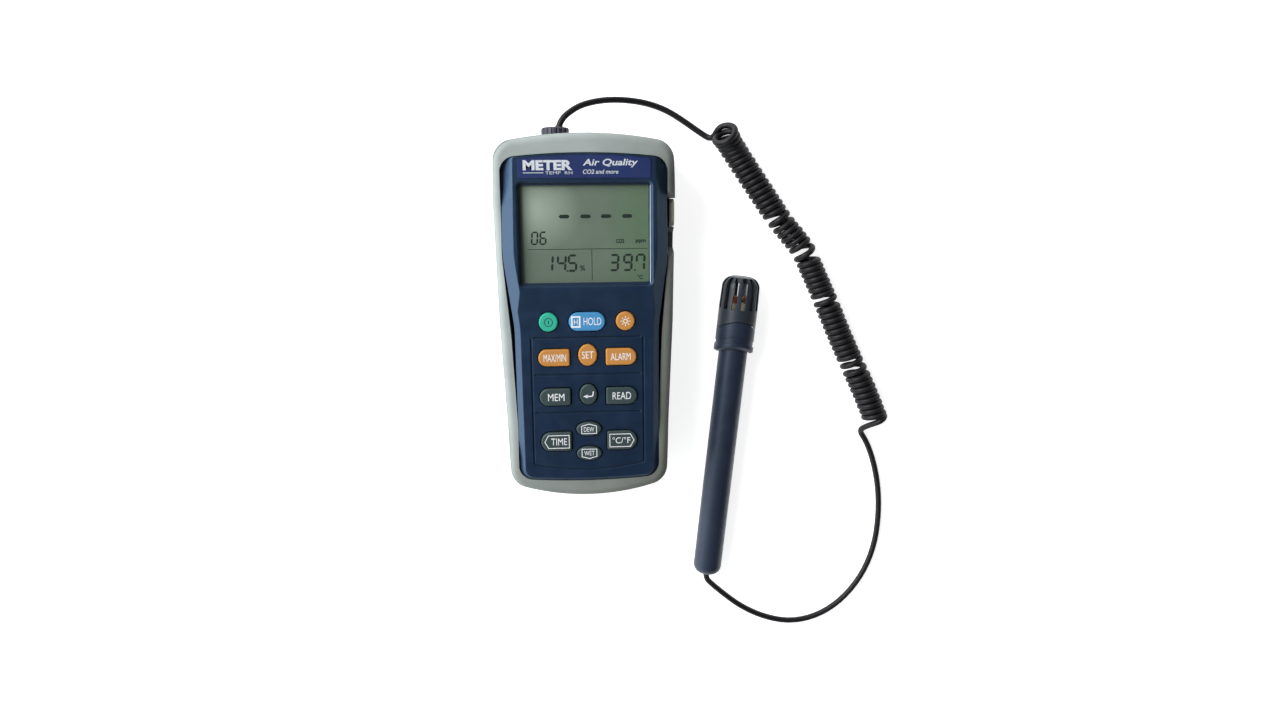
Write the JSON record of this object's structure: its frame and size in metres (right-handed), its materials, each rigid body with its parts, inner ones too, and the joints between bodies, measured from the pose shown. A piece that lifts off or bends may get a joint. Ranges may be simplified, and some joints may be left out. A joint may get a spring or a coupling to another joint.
{
  "type": "carbon dioxide monitor",
  "caption": "Hand-held carbon dioxide, humidity and temperature meter in a rubber boot, with a coloured keypad, a large display, a fold-out stand and a wired probe on a curly cord.",
  "frame": {"origin": "middle of the rubber boot's flat back, on the surface the meter lies on", "axes": "+Z out of the display, +Y up the meter towards the end the cord leaves, +X across it to the right as the display is read"},
  "size_m": [0.1867, 0.2603, 0.0375],
  "materials": {
    "boot": "matt grey rubber",
    "case": "satin navy moulding",
    "lens": "clear",
    "label": "printed film",
    "lcd": "display glass",
    "diffuser": "opal",
    "silicone": "moulded",
    "white_plastic": "moulded",
    "board": "solder mask",
    "chip": "moulded",
    "screw": "zinc plated",
    "sensor_can": "satin",
    "flap": "matt",
    "cell": "wrapped",
    "contact": "nickel plated",
    "plug": "ribbed moulding",
    "cord": "satin",
    "probe": "satin navy moulding",
    "cap": "satin slate moulding",
    "sensor_film": "lacquered",
    "green_key": "matt silicone",
    "blue_key": "matt silicone",
    "orange_key": "matt silicone",
    "grey_key": "matt silicone"
  },
  "bodies": {
    "root": {"rubber_boot": "boot", "front_case": "case", "rear_case": "case", "window_lens": "lens", "name_label": "label", "lcd_glass": "lcd", "backlight_panel": "diffuser", "contact_strip": "silicone", "lcd_frame": "white_plastic", "main_board": "board", "board_components": "chip", "key_board": "board", "board_header": "chip", "keypad_mat": "silicone", "board_screws": "screw", "co2_sensor": "sensor_can", "buzzer": "chip", "probe_socket": "chip", "data_socket": "chip", "dc_socket": "chip", "flap_pin": "screw", "battery_cells": "cell", "battery_contacts": "contact", "battery_door": "case", "door_screw": "screw", "case_screws": "screw", "stand_pin": "screw", "plug_grip": "plug", "plug_nose": "contact", "plug_pins": "contact", "plug_relief": "cord", "cord_lead": "cord", "cord_curl": "cord", "cord_tail": "cord", "probe_handle": "probe", "probe_collar": "probe", "probe_cap": "cap", "probe_board": "board", "sensor_holder": "white_plastic", "humidity_sensor": "sensor_film", "thermistor": "sensor_film", "probe_gland": "cord"},
    "key_power": {"key_power": "green_key"},
    "key_hold": {"key_hold": "blue_key"},
    "key_light": {"key_light": "orange_key"},
    "key_max_min": {"key_max_min": "orange_key"},
    "key_set": {"key_set": "orange_key"},
    "key_alarm": {"key_alarm": "orange_key"},
    "key_mem": {"key_mem": "grey_key"},
    "key_enter": {"key_enter": "grey_key"},
    "key_read": {"key_read": "grey_key"},
    "key_time": {"key_time": "grey_key"},
    "key_dew": {"key_dew": "grey_key"},
    "key_wet": {"key_wet": "grey_key"},
    "key_units": {"key_units": "grey_key"},
    "stand": {"tilt_stand": "case"},
    "flap": {"jack_flap": "flap"}
  },
  "joints": [
    {"name": "key_power_press", "type": "slide", "parent": "root", "child": "key_power", "axis": [0, 0, -1], "range_m": [0, 0.0008], "stiffness_N_per_m": 1500, "springref_m": -0.0002},
    {"name": "key_hold_press", "type": "slide", "parent": "root", "child": "key_hold", "axis": [0, 0, -1], "range_m": [0, 0.0008], "stiffness_N_per_m": 1500, "springref_m": -0.0002},
    {"name": "key_light_press", "type": "slide", "parent": "root", "child": "key_light", "axis": [0, 0, -1], "range_m": [0, 0.0008], "stiffness_N_per_m": 1500, "springref_m": -0.0002},
    {"name": "key_max_min_press", "type": "slide", "parent": "root", "child": "key_max_min", "axis": [0, 0, -1], "range_m": [0, 0.0008], "stiffness_N_per_m": 1500, "springref_m": -0.0002},
    {"name": "key_set_press", "type": "slide", "parent": "root", "child": "key_set", "axis": [0, 0, -1], "range_m": [0, 0.0008], "stiffness_N_per_m": 1500, "springref_m": -0.0002},
    {"name": "key_alarm_press", "type": "slide", "parent": "root", "child": "key_alarm", "axis": [0, 0, -1], "range_m": [0, 0.0008], "stiffness_N_per_m": 1500, "springref_m": -0.0002},
    {"name": "key_mem_press", "type": "slide", "parent": "root", "child": "key_mem", "axis": [0, 0, -1], "range_m": [0, 0.0008], "stiffness_N_per_m": 1500, "springref_m": -0.0002},
    {"name": "key_enter_press", "type": "slide", "parent": "root", "child": "key_enter", "axis": [0, 0, -1], "range_m": [0, 0.0008], "stiffness_N_per_m": 1500, "springref_m": -0.0002},
    {"name": "key_read_press", "type": "slide", "parent": "root", "child": "key_read", "axis": [0, 0, -1], "range_m": [0, 0.0008], "stiffness_N_per_m": 1500, "springref_m": -0.0002},
    {"name": "key_time_press", "type": "slide", "parent": "root", "child": "key_time", "axis": [0, 0, -1], "range_m": [0, 0.0008], "stiffness_N_per_m": 1500, "springref_m": -0.0002},
    {"name": "key_dew_press", "type": "slide", "parent": "root", "child": "key_dew", "axis": [0, 0, -1], "range_m": [0, 0.0008], "stiffness_N_per_m": 1500, "springref_m": -0.0002},
    {"name": "key_wet_press", "type": "slide", "parent": "root", "child": "key_wet", "axis": [0, 0, -1], "range_m": [0, 0.0008], "stiffness_N_per_m": 1500, "springref_m": -0.0002},
    {"name": "key_units_press", "type": "slide", "parent": "root", "child": "key_units", "axis": [0, 0, -1], "range_m": [0, 0.0008], "stiffness_N_per_m": 1500, "springref_m": -0.0002},
    {"name": "stand_fold", "type": "hinge", "parent": "root", "child": "stand", "pos_m": [0, 0.056, 0.0049], "axis": [1, 0, 0], "range_deg": [0, 62]},
    {"name": "flap_open", "type": "hinge", "parent": "root", "child": "flap", "pos_m": [0.0381, 0.047, 0.0096], "axis": [0, 1, 0], "range_deg": [0, 85]}
  ]
}
